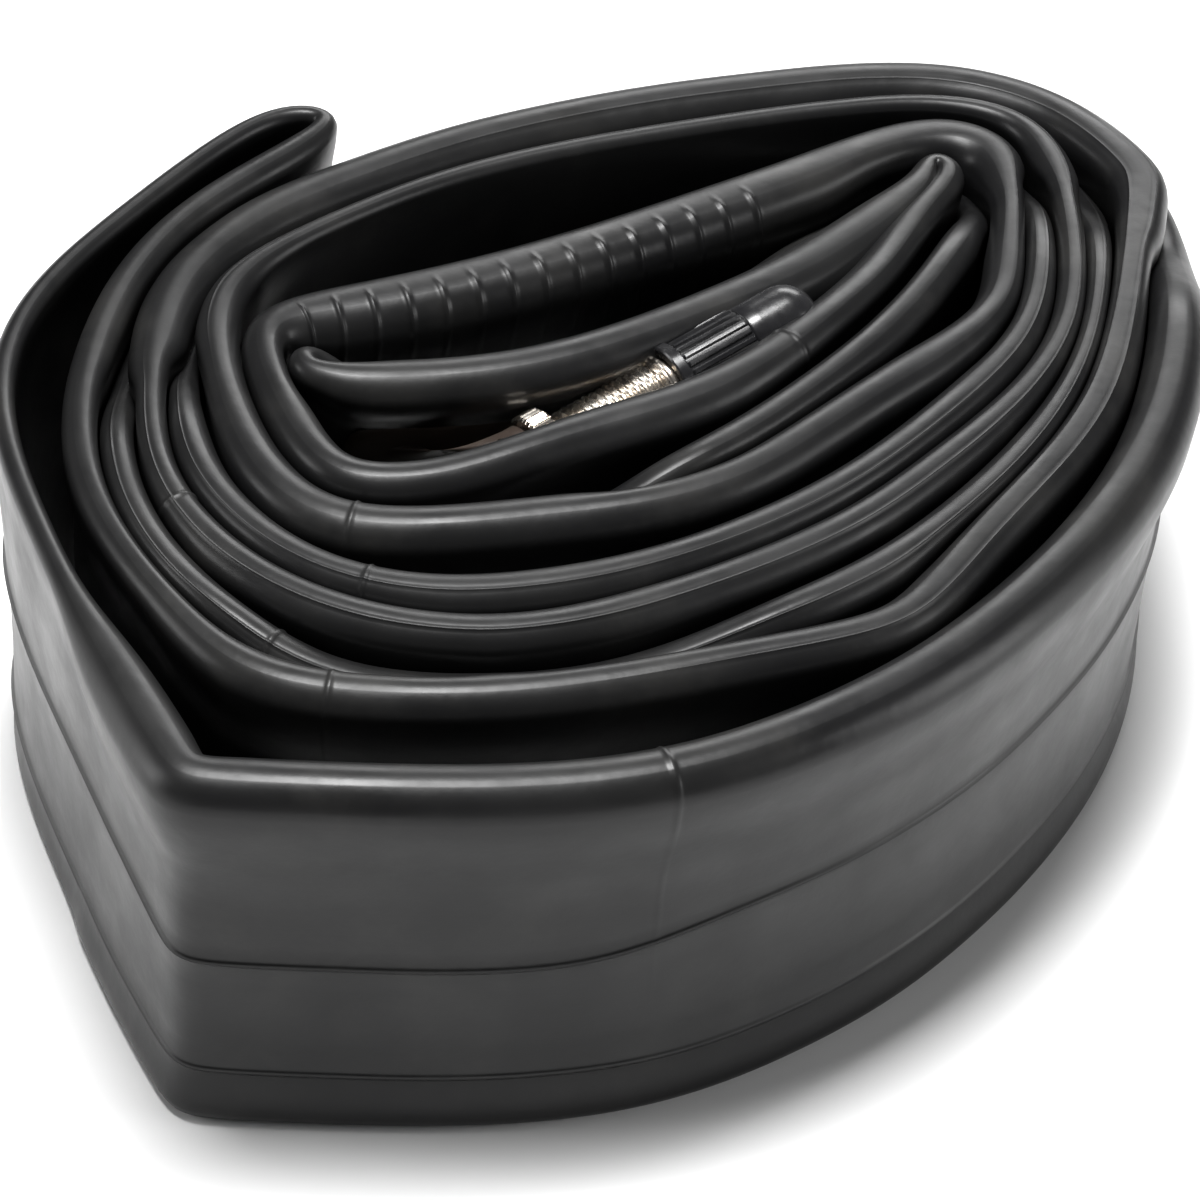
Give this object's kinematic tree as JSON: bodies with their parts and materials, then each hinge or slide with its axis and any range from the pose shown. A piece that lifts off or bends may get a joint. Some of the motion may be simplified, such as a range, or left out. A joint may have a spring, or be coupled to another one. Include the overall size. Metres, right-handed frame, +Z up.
{
  "type": "bicycle inner tube",
  "caption": "Black butyl inner tube for a bicycle tyre, let down, folded double and rolled up on edge, with a long threaded valve, lock ring and black dust cap in the middle.",
  "frame": {"origin": "middle of the roll's footprint, on the ground it stands on", "axes": "+Z up, along the width of the flattened tube, which stands on its edge; +X to the right and +Y away from the viewer who sees the valve cap point to the right and away"},
  "size_m": [0.1127, 0.1186, 0.0449],
  "materials": {
    "butyl_rubber": "satin moulded butyl with faint dusting powder and fine scuffs",
    "foot_rubber": "smoother, slightly brown bonded rubber",
    "nickel_plate": "bright nickel plate over brass",
    "brass": "turned brass",
    "seal_rubber": "matt seal rubber",
    "cap_plastic": "glossy black moulded plastic"
  },
  "bodies": {
    "tube": {"outer_turn_1": "butyl_rubber", "outer_turn_2": "butyl_rubber", "outer_turn_3": "butyl_rubber", "outer_turn_4": "butyl_rubber", "inner_turn_4": "butyl_rubber", "inner_turn_3": "butyl_rubber", "inner_turn_2": "butyl_rubber", "inner_turn_1": "butyl_rubber", "valve_foot": "foot_rubber", "valve_stem": "nickel_plate", "valve_core": "brass", "core_gasket": "seal_rubber"},
    "ring": {"lock_ring": "nickel_plate"},
    "cap": {"dust_cap": "cap_plastic"},
    "pin": {"core_pin": "brass", "pin_seal": "seal_rubber"},
    "nut": {"thumb_nut": "brass"}
  },
  "joints": [
    {"name": "ring_turn", "type": "hinge", "parent": "tube", "child": "ring", "pos_m": [0.00595, 0.0044, 0.039], "axis": [0.7748, 0.6054, 0.1822], "continuous": true},
    {"name": "cap_turn", "type": "hinge", "parent": "tube", "child": "cap", "pos_m": [0.00595, 0.0044, 0.039], "axis": [0.7748, 0.6054, 0.1822], "continuous": true},
    {"name": "pin_press", "type": "slide", "parent": "tube", "child": "pin", "axis": [-0.7748, -0.6054, -0.1822], "range_m": [0, 0.0018]},
    {"name": "nut_turn", "type": "hinge", "parent": "pin", "child": "nut", "pos_m": [0.00595, 0.0044, 0.039], "axis": [0.7748, 0.6054, 0.1822], "continuous": true}
  ]
}
